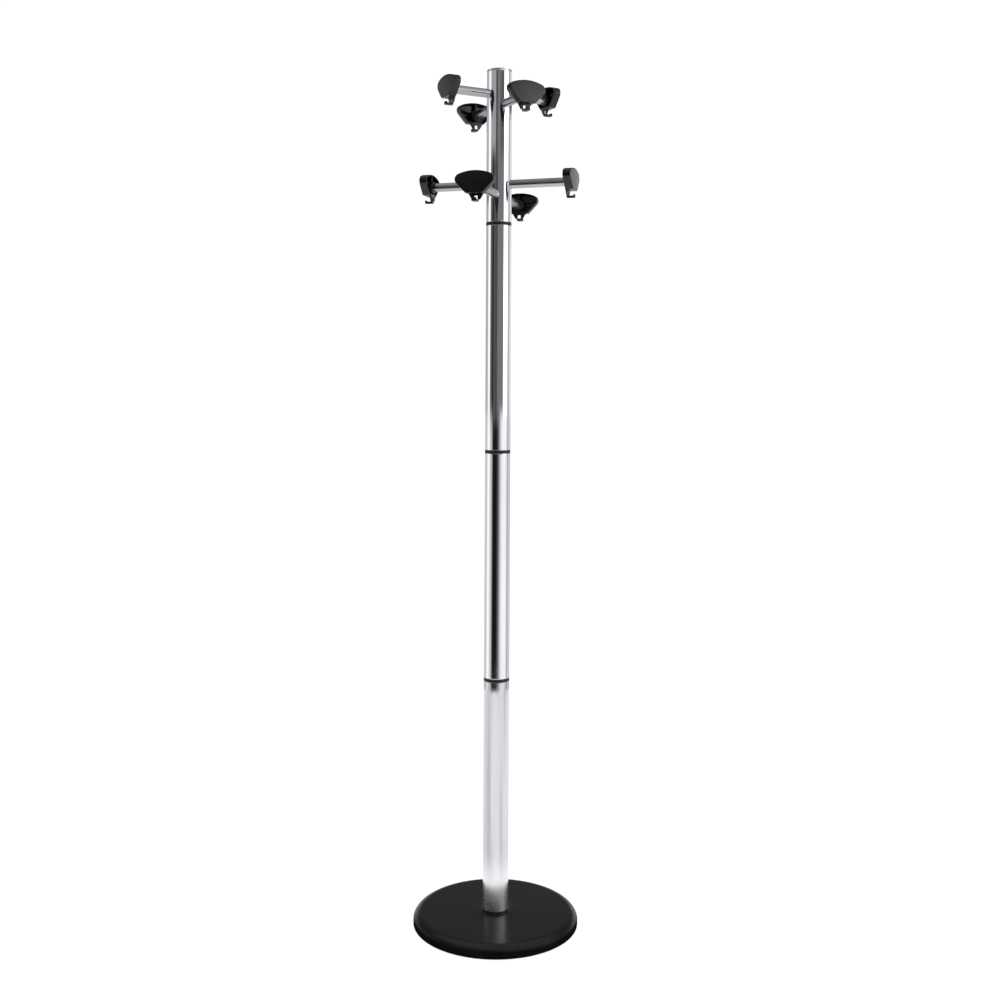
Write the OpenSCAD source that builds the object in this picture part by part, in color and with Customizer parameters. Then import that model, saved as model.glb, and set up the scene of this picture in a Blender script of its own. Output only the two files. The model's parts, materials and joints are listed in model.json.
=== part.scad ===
// Standing coat rack: a round weighted base, a chrome pole in four screwed
// sections, and two tiers of crossed arms that carry eight peg heads.
// Millimetres. The origin is the centre of the base on the floor, +Z up the
// pole. The lower tier lies along X and Y, the upper tier along the diagonals.

/* [Base] */
// Diameter of the base
base_d = 336; // [300:2:420]
// Height of the base's flat top above the floor
base_top_z = 25.5; // [24:0.5:34]
// Height of the upright part of the rim
base_rim_z = 11; // [8:0.5:14]
// How far the rounded edge reaches in from the rim
base_edge = 18; // [8:0.5:18]
// Wall of the base cover
base_wall = 3; // [2:0.25:4]
// Gap between the floor and the cover's lower edge
cover_lift = 1.5; // [1:0.25:2.5]
// Diameter of the raised collar under the pole
collar_d = 56; // [55:0.5:70]
// Height of the raised collar above the flat top
collar_h = 2; // [1.5:0.5:14]
// Fillet at the foot of the collar
collar_fillet = 1; // [0.5:0.25:1.5]
// How far the cast iron weight stays inside the rim
weight_in = 33; // [33:1:60]
// Thickness of the cast iron weight
weight_t = 10.5; // [8:0.5:10.5]
// Thickness of the plate that closes the underside
plate_t = 2; // [1.5:0.25:2.5]
// Diameter of the access hole in the plate
plate_hole_d = 36; // [34:1:50]
// Height of the rubber feet
foot_h = 3; // [2.5:0.25:3.5]
// Diameter of the rubber feet
foot_d = 20; // [14:1:24]
// Number of feet, and of plate screws between them
foot_count = 6; // [4:1:8]
// Diameter of the plate screws
plate_screw_d = 3.5; // [3:0.5:4]

/* [Pole] */
// Outer diameter of the pole tubes
tube_d = 52.5; // [43:0.5:56]
// Wall of the pole tubes
tube_wall = 1.2; // [1:0.1:2]
// Length of the lower tube, which stands on the base
lower_section_l = 466.5; // [300:0.5:560]
// Length of the middle tube and of the upper tube
section_l = 459.5; // [300:0.5:560]
// Length of the top tube that carries the arms
head_tube_l = 310.5; // [290:0.5:400]
// Thickness of a plug's visible flange
flange_t = 3; // [2:0.25:5]
// Thickness of the washer between two flanges
joint_washer_t = 1; // [0.5:0.1:2]
// How deep a plug reaches into its tube
plug_l = 34; // [24:1:50]
// Wall of a plug's skirt
plug_wall = 2.5; // [1.5:0.25:4]
// Diameter of a plug's centre boss
plug_boss_d = 20; // [16:1:28]
// Thickness of the web that joins skirt and boss
plug_web_t = 4; // [2:0.5:8]
// Diameter of the studs and of the pole bolt
stud_d = 10; // [8:0.5:12]
// Thread that a stud puts into the section above its washer
stud_reach = 17; // [15.5:0.5:24]
// Height of the cap's visible disc
cap_t = 2.5; // [1.5:0.25:4]
// How deep the cap reaches into the top tube
cap_skirt_l = 14; // [8:1:24]

/* [Arms] */
// Outer diameter of the arm tubes
arm_d = 18; // [14:0.5:20]
// Wall of the arm tubes
arm_wall = 1; // [0.8:0.1:1.5]
// Vertical distance between the two crossed arms of a tier
arm_step = 22.5; // [21:0.5:30]
// Height of the lower tier's upper arm above the top tube's lower end
lower_tier_up = 78; // [60:0.5:90]
// Distance of the upper tier's upper arm below the top tube's upper end
upper_tier_down = 47.5; // [42:0.5:70]
// Distance from the pole's axis to a peg's face in the lower tier
lower_reach = 162; // [120:1:195]
// Distance from the pole's axis to a peg's face in the upper tier
upper_reach = 124; // [100:1:155]
// Wall of an arm block beyond the arms
block_rim = 6; // [4:0.5:10]
// Diameter of the bolt that locks a tier
arm_bolt_d = 6; // [5:0.5:8]

/* [Peg heads] */
// Width of a peg head
peg_w = 80; // [72:1:92]
// Height of a peg head above its arm's axis
peg_up = 26.5; // [24:0.5:32]
// Depth of the peg head's body below its arm's axis
peg_down = 17.5; // [16:0.5:21]
// Thickness of a peg head
peg_t = 17.5; // [15:0.5:21]
// Wall of a peg head
peg_wall = 2.4; // [1.8:0.1:3]
// Radius of the two side corners
peg_corner_r = 11; // [9:0.5:12]
// Radius of the two bottom corners
peg_bottom_r = 5; // [3:0.5:6]
// Radius of the outer face's curve across its width
peg_dome_r = 500; // [400:10:700]
// Depth of the hook below the arm's axis
hook_down = 33; // [30:0.5:38]
// Thickness of the hook's strap
strap_t = 3; // [2:0.25:4]
// Width of the hook's lip
lip_w = 11; // [8:0.5:14]
// Thickness of the hook's lip
lip_t = 4; // [3:0.25:5]
// Height of the nub at the lip's end
nub_h = 3; // [2:0.25:3.5]
// Width of the window in the strap
window_w = 7; // [5:0.5:8]
// Height of the window in the strap
window_h = 7.5; // [5:0.5:9]

/* [Fits] */
// Radial clearance of a plug in its tube
plug_gap = 0.1; // [0.05:0.05:0.3]
// Radial clearance of a thread in its nut or plug
thread_gap = 0.05; // [0.02:0.01:0.1]
// Radial clearance of an arm in its holes
arm_gap = 0.1; // [0.05:0.05:0.3]
// Radial clearance of a bolt through a plain hole
bolt_gap = 0.5; // [0.2:0.1:0.8]
// Radial clearance of the plate in the cover
plate_gap = 0.5; // [0.3:0.1:1]

/* [Hidden] */
$fn = 96;
eps = 0.01;

// Base
base_r = base_d / 2;
collar_top_z = base_top_z + collar_h;
cover_inner_z = base_top_z - base_wall;
boss_r = 5;
weight_r = base_r - weight_in;
boss_ring_r = weight_r + boss_r + 4;
plate_r = base_r - base_wall - plate_gap;
plate_z = foot_h;
foot_ring_r = base_r - base_edge - foot_d / 2;
screw_head_h = 1.8;
screw_head_r = plate_screw_d;
screw_l = plate_t + 9;
weight_z = cover_inner_z - weight_t;
bolt_washer_t = 2;
bolt_washer_d = 30;
bolt_head_h = 6.4;
bolt_head_af = 17;
stud_hole_r = stud_d / 2 + thread_gap;
bolt_hole_r = stud_d / 2 + bolt_gap;

// Pole
tube_r = tube_d / 2;
tube_in_r = tube_r - tube_wall;
plug_r = tube_in_r - plug_gap;
joint_t = 2 * flange_t + joint_washer_t;
lower_z = collar_top_z + flange_t;
lower_end_z = lower_z + lower_section_l;
middle_z = lower_end_z + joint_t;
upper_z = middle_z + section_l + joint_t;
head_z = upper_z + section_l + joint_t;
head_top_z = head_z + head_tube_l;
stud_root = plug_l - 6;

// Arms: azimuths turn from +X towards +Y
arm_r = arm_d / 2;
arm_in_r = arm_r - arm_wall;
lower_high_z = head_z + lower_tier_up;
lower_low_z = lower_high_z - arm_step;
upper_high_z = head_top_z - upper_tier_down;
upper_low_z = upper_high_z - arm_step;
LOWER_HIGH_AZ = 0;
LOWER_LOW_AZ = 90;
UPPER_HIGH_AZ = 45;
UPPER_LOW_AZ = 135;
block_r = tube_in_r - plug_gap;
block_h = arm_step + arm_d + 2 * block_rim;
arm_bolt_r = arm_bolt_d / 2;
arm_bolt_head_h = arm_bolt_d;
nut_h = 5;
nut_af = 10;

// Peg heads: the outer face's middle is the local origin, +X points outwards
dome_fn = 720;
floor_t = peg_wall + 0.6;
socket_wall = 2.5;
socket_lip = 2;
snap_r = 4;
snap_l = 3.5;
arm_inset = floor_t + snap_l + 0.5;
corner_u = peg_w / 2 - peg_corner_r;
corner_drop = 16.3;
corner_v = peg_up - corner_drop;
bottom_u = 15.5;
bottom_v = peg_bottom_r - peg_down;
// Centre and radius of the top arc, tangent inside to both side corners
top_v = (pow(peg_up - peg_corner_r, 2) - pow(corner_u, 2) - pow(corner_v, 2))
    / (2 * (peg_up - peg_corner_r - corner_v));
top_r = peg_up - top_v;
corner_a = atan2(corner_v - top_v, corner_u);
// Direction of the straight side's outward normal
side_run = [bottom_u - corner_u, bottom_v - corner_v];
side_a = atan2(side_run[1], side_run[0])
    + acos((peg_corner_r - peg_bottom_r) / norm(side_run));
strap_back = -peg_t;
lip_v = -hook_down + lip_t;
lip_end = -1;
strap_low_r = lip_w / 2;
window_low = lip_v + 0.5;

// Points of an arc with half axes rx and ry
function arc(x, y, rx, ry, a0, a1, n) =
    [for (i = [0:n]) let (a = a0 + (a1 - a0) * i / n) [x + rx * cos(a), y + ry * sin(a)]];

function mirrored(points) =
    [for (i = [len(points) - 1:-1:0]) [-points[i][0], points[i][1]]];

// Right half of the peg head's outline, moved in by inset, from the top down
function peg_half(inset) = concat(
    arc(0, top_v, top_r - inset, top_r - inset, 90, corner_a, 8),
    arc(corner_u, corner_v, peg_corner_r - inset, peg_corner_r - inset, corner_a, side_a, 8),
    arc(bottom_u, bottom_v, peg_bottom_r - inset, peg_bottom_r - inset, side_a, -90, 5));

function peg_outline(inset) = concat(peg_half(inset), mirrored(peg_half(inset)));

module tube(r, wall, l) {
    difference() {
        cylinder(r = r, h = l);
        translate([0, 0, -1]) cylinder(r = r - wall, h = l + 2);
    }
}

module ring_of(count, r, turn = 0) {
    for (i = [0:count - 1]) rotate([0, 0, turn + 360 * i / count]) translate([r, 0, 0]) children();
}

// Plug for a tube's upper end: flange above z = 0, skirt and boss below it
module tube_plug() {
    color("#1c1c1e") difference() {
        union() {
            cylinder(r = tube_r, h = flange_t);
            translate([0, 0, -plug_l]) cylinder(r = plug_r, h = plug_l + eps);
        }
        translate([0, 0, -plug_l - 1]) difference() {
            cylinder(r = plug_r - plug_wall, h = plug_l + 1 - plug_web_t);
            cylinder(d = plug_boss_d, h = plug_l + 1);
        }
        translate([0, 0, -plug_l - 1]) cylinder(r = stud_hole_r, h = plug_l + flange_t + 2);
    }
}

module top_plug_at(z) { translate([0, 0, z]) tube_plug(); }

module bottom_plug_at(z) { translate([0, 0, z]) mirror([0, 0, 1]) tube_plug(); }

module section_tube_at(z, l) {
    color("#c8ccd2") translate([0, 0, z]) tube(tube_r, tube_wall, l);
}

// Stud fixed in the plug below a joint, reaching into the plug above it
module stud_at(z) {
    color("#8f9499") translate([0, 0, z + flange_t - stud_root])
        cylinder(d = stud_d, h = stud_root + stud_reach);
}

module joint_washer_at(z) {
    color("#0c0c0d") translate([0, 0, z + flange_t]) difference() {
        cylinder(r = tube_r, h = joint_washer_t);
        translate([0, 0, -1]) cylinder(r = stud_hole_r, h = joint_washer_t + 2);
    }
}

module base_cover() {
    edge_h = base_top_z - base_rim_z;
    edge_x = base_r - base_edge;
    profile = concat(
        [[bolt_hole_r, collar_top_z], [collar_d / 2, collar_top_z]],
        arc(collar_d / 2 + collar_fillet, base_top_z + collar_fillet,
            collar_fillet, collar_fillet, 180, 270, 5),
        arc(edge_x, base_rim_z, base_edge, edge_h, 90, 0, 10),
        [[base_r, cover_lift], [base_r - base_wall, cover_lift]],
        arc(edge_x, base_rim_z, base_edge - base_wall, edge_h - base_wall, 0, 90, 10),
        [[bolt_hole_r, cover_inner_z]]);
    color("#1b1b1d") difference() {
        union() {
            rotate_extrude() polygon(profile);
            ring_of(foot_count, boss_ring_r, 180 / foot_count) translate([0, 0, plate_z + plate_t])
                cylinder(r = boss_r, h = cover_inner_z + eps - plate_z - plate_t);
        }
        ring_of(foot_count, boss_ring_r, 180 / foot_count) translate([0, 0, plate_z])
            cylinder(d = plate_screw_d + 2 * thread_gap, h = screw_l + 1);
    }
}

module base_weight() {
    color("#3a3a3c") translate([0, 0, weight_z]) difference() {
        cylinder(r = weight_r, h = weight_t);
        translate([0, 0, -1]) cylinder(r = bolt_hole_r, h = weight_t + 2);
    }
}

module base_plate() {
    color("#2a2a2c") translate([0, 0, plate_z]) difference() {
        cylinder(r = plate_r, h = plate_t);
        translate([0, 0, -1]) cylinder(d = plate_hole_d, h = plate_t + 2);
        ring_of(foot_count, boss_ring_r, 180 / foot_count) translate([0, 0, -1])
            cylinder(d = plate_screw_d + 2 * bolt_gap, h = plate_t + 2);
    }
}

module base_feet() {
    color("#101010") ring_of(foot_count, foot_ring_r) cylinder(d = foot_d, h = foot_h);
}

module base_plate_screws() {
    color("#8f9499") ring_of(foot_count, boss_ring_r, 180 / foot_count) {
        translate([0, 0, plate_z - screw_head_h]) cylinder(r = screw_head_r, h = screw_head_h);
        translate([0, 0, plate_z - eps]) cylinder(d = plate_screw_d, h = screw_l);
    }
}

// Bolt from below, through weight and cover, into the lower tube's foot plug
module pole_bolt() {
    shank_z = weight_z - bolt_washer_t;
    color("#8f9499") {
        translate([0, 0, shank_z - bolt_head_h])
            cylinder(d = bolt_head_af / cos(30), h = bolt_head_h, $fn = 6);
        translate([0, 0, shank_z - eps])
            cylinder(d = stud_d, h = lower_z + stud_root - flange_t - shank_z + eps);
    }
}

module pole_bolt_washer() {
    color("#a3a7ab") translate([0, 0, weight_z - bolt_washer_t]) difference() {
        cylinder(d = bolt_washer_d, h = bolt_washer_t);
        translate([0, 0, -1]) cylinder(r = bolt_hole_r, h = bolt_washer_t + 2);
    }
}

// Bar shape along the arm direction az at height z, for arms and their holes
module along_arm(az, z) { rotate([0, 0, az]) translate([0, 0, z]) rotate([0, 90, 0]) children(); }

module arm_cuts(gap) {
    for (a = [[LOWER_HIGH_AZ, lower_high_z], [LOWER_LOW_AZ, lower_low_z],
              [UPPER_HIGH_AZ, upper_high_z], [UPPER_LOW_AZ, upper_low_z]])
        along_arm(a[0], a[1]) cylinder(r = arm_r + gap, h = 2 * tube_d, center = true);
}

module head_tube() {
    color("#c8ccd2") difference() {
        translate([0, 0, head_z]) tube(tube_r, tube_wall, head_tube_l);
        arm_cuts(arm_gap);
    }
}

module top_cap() {
    color("#c8ccd2") translate([0, 0, head_top_z]) difference() {
        union() {
            cylinder(r = tube_r, h = cap_t);
            translate([0, 0, -cap_skirt_l]) cylinder(r = plug_r, h = cap_skirt_l + eps);
        }
        translate([0, 0, -cap_skirt_l - 1]) cylinder(r = plug_r - plug_wall, h = cap_skirt_l + 1);
    }
}

// Block inside the top tube that holds a tier's two arms
module arm_block(high_z) {
    color("#d8d8d2") difference() {
        translate([0, 0, high_z - arm_step / 2 - block_h / 2]) cylinder(r = block_r, h = block_h);
        arm_cuts(arm_gap);
        translate([0, 0, high_z - arm_step / 2 - block_h])
            cylinder(r = arm_bolt_r + bolt_gap, h = 2 * block_h);
    }
}

// Bolt that locks a tier: head on the block, through both arms, nut below
module arm_bolt(high_z) {
    block_top = high_z - arm_step / 2 + block_h / 2;
    color("#8f9499") {
        translate([0, 0, block_top]) cylinder(d = 1.7 * arm_bolt_d, h = arm_bolt_head_h);
        translate([0, 0, block_top - block_h - nut_h - 2])
            cylinder(r = arm_bolt_r, h = block_h + nut_h + 2 + eps);
    }
}

module arm_bolt_nuts() {
    color("#8f9499") for (z = [lower_high_z, upper_high_z])
        translate([0, 0, z - arm_step / 2 - block_h / 2 - nut_h]) difference() {
            cylinder(d = nut_af / cos(30), h = nut_h, $fn = 6);
            translate([0, 0, -1]) cylinder(r = arm_bolt_r + thread_gap, h = nut_h + 2);
        }
}

module arm(az, z, reach) {
    half = reach - arm_inset;
    color("#c8ccd2") difference() {
        along_arm(az, z) difference() {
            cylinder(r = arm_r, h = 2 * half, center = true);
            cylinder(r = arm_in_r, h = 2 * half + 2, center = true);
        }
        translate([0, 0, z - arm_d]) cylinder(r = arm_bolt_r + bolt_gap, h = 2 * arm_d);
    }
}

module arm_end_plug(az, z, reach) {
    along_arm(az, z) {
        translate([0, 0, reach - arm_inset - 12]) cylinder(r = arm_in_r - plug_gap, h = 12);
        translate([0, 0, reach - arm_inset - eps]) cylinder(r = snap_r, h = snap_l);
    }
}

module arm_end_plugs() {
    color("#d8d8d2") {
        for (turn = [0, 180]) {
            arm_end_plug(LOWER_HIGH_AZ + turn, lower_high_z, lower_reach);
            arm_end_plug(LOWER_LOW_AZ + turn, lower_low_z, lower_reach);
            arm_end_plug(UPPER_HIGH_AZ + turn, upper_high_z, upper_reach);
            arm_end_plug(UPPER_LOW_AZ + turn, upper_low_z, upper_reach);
        }
    }
}

// Extrudes a (u, v) outline along +X, starting at x = from
module outward(from, l) { translate([from, 0, 0]) rotate([90, 0, 90]) linear_extrude(l) children(); }

module peg_body() {
    intersection() {
        difference() {
            outward(-peg_t, peg_t) polygon(peg_outline(0));
            outward(-peg_t - 1, peg_t + 1 - floor_t - 1.5) polygon(peg_outline(peg_wall));
        }
        translate([-peg_dome_r, 0, -peg_w]) cylinder(r = peg_dome_r, h = 2 * peg_w, $fn = dome_fn);
    }
}

// Socket for the arm, with a rib above and below it
module peg_socket() {
    socket_r = arm_r + arm_gap + socket_wall;
    depth = peg_t + socket_lip - floor_t;
    translate([-peg_t - socket_lip, 0, 0]) rotate([0, 90, 0]) cylinder(r = socket_r, h = depth);
    outward(-peg_t + 2, peg_t - floor_t - 2) translate([-1, -peg_down + 1]) square([2, peg_up + peg_down - 2]);
}

// Strap below the head's back, with its window, ending in the lip and nub
module peg_hook() {
    strap = concat([[bottom_u, -peg_down + 2], [bottom_u, -peg_down], [lip_w / 2 + 2.5, lip_v]],
        arc(0, -hook_down + strap_low_r, strap_low_r, strap_low_r, 0, -90, 5));
    difference() {
        outward(strap_back, strap_t) polygon(concat(strap, mirrored(strap)));
        outward(strap_back - 1, strap_t + 2) translate([-window_w / 2, window_low])
            square([window_w, window_h]);
    }
    outward(strap_back, lip_end - strap_back) translate([-lip_w / 2, -hook_down]) square([lip_w, lip_t]);
    outward(lip_end - 2.5, 2.5) translate([-lip_w / 2, lip_v - eps]) square([lip_w, nub_h]);
}

module peg(az, z, reach) {
    color("#202124") rotate([0, 0, az]) translate([reach, 0, z]) difference() {
        union() {
            peg_body();
            peg_socket();
            peg_hook();
        }
        translate([-peg_t - socket_lip - 1, 0, 0]) rotate([0, 90, 0])
            cylinder(r = arm_r + arm_gap, h = peg_t + socket_lip + 1 - arm_inset);
        translate([-arm_inset - 1, 0, 0]) rotate([0, 90, 0]) cylinder(r = snap_r + plug_gap, h = snap_l + 1.3);
    }
}

base_cover();
base_weight();
base_plate();
base_feet();
base_plate_screws();
pole_bolt();
pole_bolt_washer();
bottom_plug_at(lower_z);  // foot_plug
section_tube_at(lower_z, lower_section_l);  // lower_tube
top_plug_at(lower_end_z);  // lower_tube_top_plug
stud_at(lower_end_z);  // lower_joint_stud
joint_washer_at(lower_end_z);  // lower_joint_washer
bottom_plug_at(middle_z);  // middle_tube_bottom_plug
section_tube_at(middle_z, section_l);  // middle_tube
top_plug_at(middle_z + section_l);  // middle_tube_top_plug
stud_at(middle_z + section_l);  // middle_joint_stud
joint_washer_at(middle_z + section_l);  // middle_joint_washer
bottom_plug_at(upper_z);  // upper_tube_bottom_plug
section_tube_at(upper_z, section_l);  // upper_tube
top_plug_at(upper_z + section_l);  // upper_tube_top_plug
stud_at(upper_z + section_l);  // upper_joint_stud
joint_washer_at(upper_z + section_l);  // upper_joint_washer
bottom_plug_at(head_z);  // head_tube_bottom_plug
head_tube();
top_cap();
arm_block(lower_high_z);  // lower_arm_block
arm_block(upper_high_z);  // upper_arm_block
arm_bolt(lower_high_z);  // lower_arm_bolt
arm_bolt(upper_high_z);  // upper_arm_bolt
arm_bolt_nuts();
arm(LOWER_HIGH_AZ, lower_high_z, lower_reach);  // lower_arm_high
arm(LOWER_LOW_AZ, lower_low_z, lower_reach);  // lower_arm_low
arm(UPPER_HIGH_AZ, upper_high_z, upper_reach);  // upper_arm_high
arm(UPPER_LOW_AZ, upper_low_z, upper_reach);  // upper_arm_low
arm_end_plugs();
peg(LOWER_HIGH_AZ, lower_high_z, lower_reach);  // peg_lower_right
peg(LOWER_HIGH_AZ + 180, lower_high_z, lower_reach);  // peg_lower_left
peg(LOWER_LOW_AZ + 180, lower_low_z, lower_reach);  // peg_lower_front
peg(LOWER_LOW_AZ, lower_low_z, lower_reach);  // peg_lower_back
peg(UPPER_HIGH_AZ, upper_high_z, upper_reach);  // peg_upper_back_right
peg(UPPER_HIGH_AZ + 180, upper_high_z, upper_reach);  // peg_upper_front_left
peg(UPPER_LOW_AZ + 180, upper_low_z, upper_reach);  // peg_upper_front_right
peg(UPPER_LOW_AZ, upper_low_z, upper_reach);  // peg_upper_back_left
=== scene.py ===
"""Standing coat rack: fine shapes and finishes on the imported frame, a small studio and the camera."""

import json
from math import acos, atan2, cos, degrees, hypot, pi, radians, sin

import bmesh
import bpy
from mathutils import Matrix, Vector


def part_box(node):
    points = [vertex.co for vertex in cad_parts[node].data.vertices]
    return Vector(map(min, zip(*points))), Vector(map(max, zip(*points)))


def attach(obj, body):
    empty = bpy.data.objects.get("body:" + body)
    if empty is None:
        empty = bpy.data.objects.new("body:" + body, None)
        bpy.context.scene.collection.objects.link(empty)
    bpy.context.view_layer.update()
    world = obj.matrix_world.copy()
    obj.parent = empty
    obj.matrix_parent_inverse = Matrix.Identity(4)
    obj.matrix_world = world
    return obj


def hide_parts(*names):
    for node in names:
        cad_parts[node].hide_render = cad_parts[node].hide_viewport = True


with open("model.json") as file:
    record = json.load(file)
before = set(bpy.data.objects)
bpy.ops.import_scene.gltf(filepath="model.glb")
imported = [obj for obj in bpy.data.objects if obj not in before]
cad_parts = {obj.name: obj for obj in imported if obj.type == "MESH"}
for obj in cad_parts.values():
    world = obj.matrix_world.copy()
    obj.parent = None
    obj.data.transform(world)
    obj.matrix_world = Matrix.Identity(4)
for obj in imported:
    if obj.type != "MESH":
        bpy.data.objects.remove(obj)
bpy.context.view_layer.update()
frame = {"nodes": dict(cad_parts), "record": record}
MM = 0.001

# Sizes that the pieces share with the design, in metres
TUBE_WALL = 1.2 * MM
ARM_WALL = 1.0 * MM
FLANGE = 3.0 * MM
PLUG_WALL = 2.5 * MM
PLUG_BOSS_R = 10.0 * MM
PLUG_WEB = 4.0 * MM
STUD_HOLE_R = 5.05 * MM
THREAD_PITCH = 1.5 * MM
THREAD_DEPTH = 0.85 * MM
THREAD_SLOPE = 2.6
ROD_CHAMFER = 1.0 * MM
PLUG_GAP = 0.1 * MM
TUBE_EDGE = 0.35 * MM
CAP_HEIGHT = 2.5 * MM
CAP_CORNER = 1.2 * MM
BOLT_HOLE_R = 5.5 * MM
FOOT_PAD_R = 10 * MM
FEET = 6
AXIS_R = 0.0001 * MM
BASE_TOP = 25.5 * MM
BASE_RIM = 11.0 * MM
BASE_EDGE = 18.0 * MM
BASE_WALL = 3.0 * MM
COLLAR_R = 28.0 * MM
COLLAR_FILLET = 1.0 * MM
ARM_HOLE_GAP = 0.1 * MM

# Peg head, in millimetres: +x outwards, y across, z up, from the middle of its face on the arm's axis
PEG_W = 80.0
PEG_UP = 26.5
PEG_DOWN = 17.5
PEG_T = 17.5
PEG_WALL = 2.4
PEG_FLOOR = 3.0
CORNER_R = 11.0
CORNER_DROP = 16.3
BOTTOM_R = 5.0
BOTTOM_U = 15.5
HOOK_DOWN = 33.0
STRAP_T = 3.0
LIP_W = 11.0
LIP_T = 4.0
LIP_END = 1.0
NUB_H = 3.0
NUB_T = 2.5
WINDOW_W = 7.0
WINDOW_H = 7.5
SOCKET_R = 11.6
SOCKET_BORE = 9.1
SOCKET_LIP = 2.0
SCREW_R = 4.1
ARM_INSET = 7.0
SHELL_EDGE = 1.3
SHELL_EDGE_STEPS = 8
CROWN_ACROSS = 1000.0
CROWN_UP = 1600.0
RIB_EDGE = 0.25
STRAP_EDGE = 0.45
LIP_CORNER = 1.1
WINDOW_CORNER = 1.0
NUB_CORNER = 0.9

# The view: the camera looks level, this far from the pole and this high, with the slightest roll
VIEW_TURN = radians(-72.33)
VIEW_DISTANCE = 2.4987
VIEW_HEIGHT = 1.1129
VIEW_LENS = 43.75
VIEW_SENSOR = 36
VIEW_FAR = 60
VIEW_ROLL = 0.0050
SHIFT = (0.0020, -0.1196)
FLOOR_R = 1.9
WORLD_UP = Vector((0, 0, 1))
TO_CAMERA = Vector((cos(VIEW_TURN), sin(VIEW_TURN), 0))
TO_RIGHT = WORLD_UP.cross(TO_CAMERA)


# ---------------------------------------------------------------- shaders
# Where a colour Mix node has its sockets
MIX_FACTOR = 0
MIX_A = 6
MIX_B = 7
MIX_RESULT = 2


class Signal:
    """A shader socket that Python arithmetic extends with Math nodes."""

    def __init__(self, net, socket):
        self.net = net
        self.socket = socket

    def math(self, operation, *values):
        """A Math node on these values."""
        return self.net.node("ShaderNodeMath", {"operation": operation}, dict(enumerate(values)))

    def __add__(self, other):
        return self.math("ADD", self, other)

    def __sub__(self, other):
        return self.math("SUBTRACT", self, other)

    def __rsub__(self, other):
        return self.math("SUBTRACT", other, self)

    def __mul__(self, other):
        return self.math("MULTIPLY", self, other)

    __radd__ = __add__
    __rmul__ = __mul__

    def between(self, low, high, start=0.0, end=1.0):
        """start below low, end above high, and a smooth step from one to the other."""
        values = {"Value": self, "From Min": low, "From Max": high, "To Min": start, "To Max": end}
        return self.net.node("ShaderNodeMapRange", {"interpolation_type": "SMOOTHSTEP"}, values)


class Net:
    """A node tree, cleared to start with."""

    def __init__(self, tree):
        self.tree = tree
        tree.nodes.clear()

    def node(self, kind, settings, values, out=0):
        """One new node: its settings first, then the values or links of its sockets."""
        made = self.tree.nodes.new(kind)
        for name, value in settings.items():
            setattr(made, name, value)
        for key, value in values.items():
            socket = made.inputs[key]
            if isinstance(value, Signal):
                self.tree.links.new(value.socket, socket)
            else:
                socket.default_value = value
        if not made.outputs:
            return None
        return Signal(self, made.outputs[out])

    def noise(self, place, scale, detail=3.0, rough=0.5):
        """Cloudy noise from 0 to 1, its middle at 0.5."""
        values = {"Vector": place, "Scale": scale, "Detail": detail, "Roughness": rough}
        return self.node("ShaderNodeTexNoise", {}, values)

    def stretched(self, place, scale):
        """A place scaled differently along x, y and z."""
        return self.node("ShaderNodeMapping", {}, {"Vector": place, "Scale": scale})

    def place(self):
        """The point on the piece, in metres."""
        return self.node("ShaderNodeTexCoord", {}, {}, "Object")

    def height(self, place):
        """How high a place is, in metres."""
        return self.node("ShaderNodeSeparateXYZ", {}, {"Vector": place}, "Z")

    def mix(self, factor, a, b):
        """Colour a at factor 0, colour b at factor 1."""
        values = {MIX_FACTOR: factor, MIX_A: a, MIX_B: b}
        return self.node("ShaderNodeMix", {"data_type": "RGBA"}, values, MIX_RESULT)

    def bump(self, height, strength, distance):
        """A normal for small relief that the mesh doesn't have."""
        values = {"Height": height, "Strength": strength, "Distance": distance}
        return self.node("ShaderNodeBump", {}, values)


def finish_of(name, build):
    """A material whose shader build(net) returns as the values of its Principled sockets."""
    material = bpy.data.materials.new(name)
    material.use_nodes = True
    net = Net(material.node_tree)
    shader = net.node("ShaderNodeBsdfPrincipled", {}, build(net))
    net.node("ShaderNodeOutputMaterial", {}, {"Surface": shader})
    return material


def chrome(net, foot=False):
    """Polished plate: faint haze, wipe marks, slight waviness; foot darkens and streaks the tint as
    painted shade, turns it near white at the very bottom as painted light, and dulls it low down.
    """
    place = net.place()
    haze = net.noise(net.stretched(place, (9, 9, 1.6)), 4.0, 4.0)
    wipes = net.noise(net.stretched(place, (60, 60, 700)), 1.0, 2.0)
    wave = net.noise(net.stretched(place, (22, 22, 2.5)), 1.0, 2.0)
    rough = haze.between(0.45, 0.8, 0.035, 0.10) + wipes.between(0.55, 0.8, 0.0, 0.025)
    tint = net.mix(haze.between(0.3, 0.75), (0.80, 0.815, 0.845, 1), (0.74, 0.755, 0.79, 1))
    if foot:
        height = net.height(place)
        drawn = net.noise(net.stretched(place, (95, 95, 1.5)), 1.0, 2.0)
        # Painted shade: the lower tube's tint is made darker and streaked.
        tint = net.mix(drawn.between(0.35, 0.62), (0.46, 0.47, 0.495, 1), (0.66, 0.67, 0.70, 1))
        # Painted light: the tint turns near white in the lowest centimetres.
        tint = net.mix(height.between(0.05, 0.16), (0.93, 0.94, 0.96, 1), tint)
        rough = rough + height.between(0.03, 0.16, 0.24, 0.0)
    return {
        "Base Color": tint, "Metallic": 1.0, "Roughness": rough,
        "Normal": net.bump(wave, 0.12, 1.0 * MM),
    }


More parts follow.
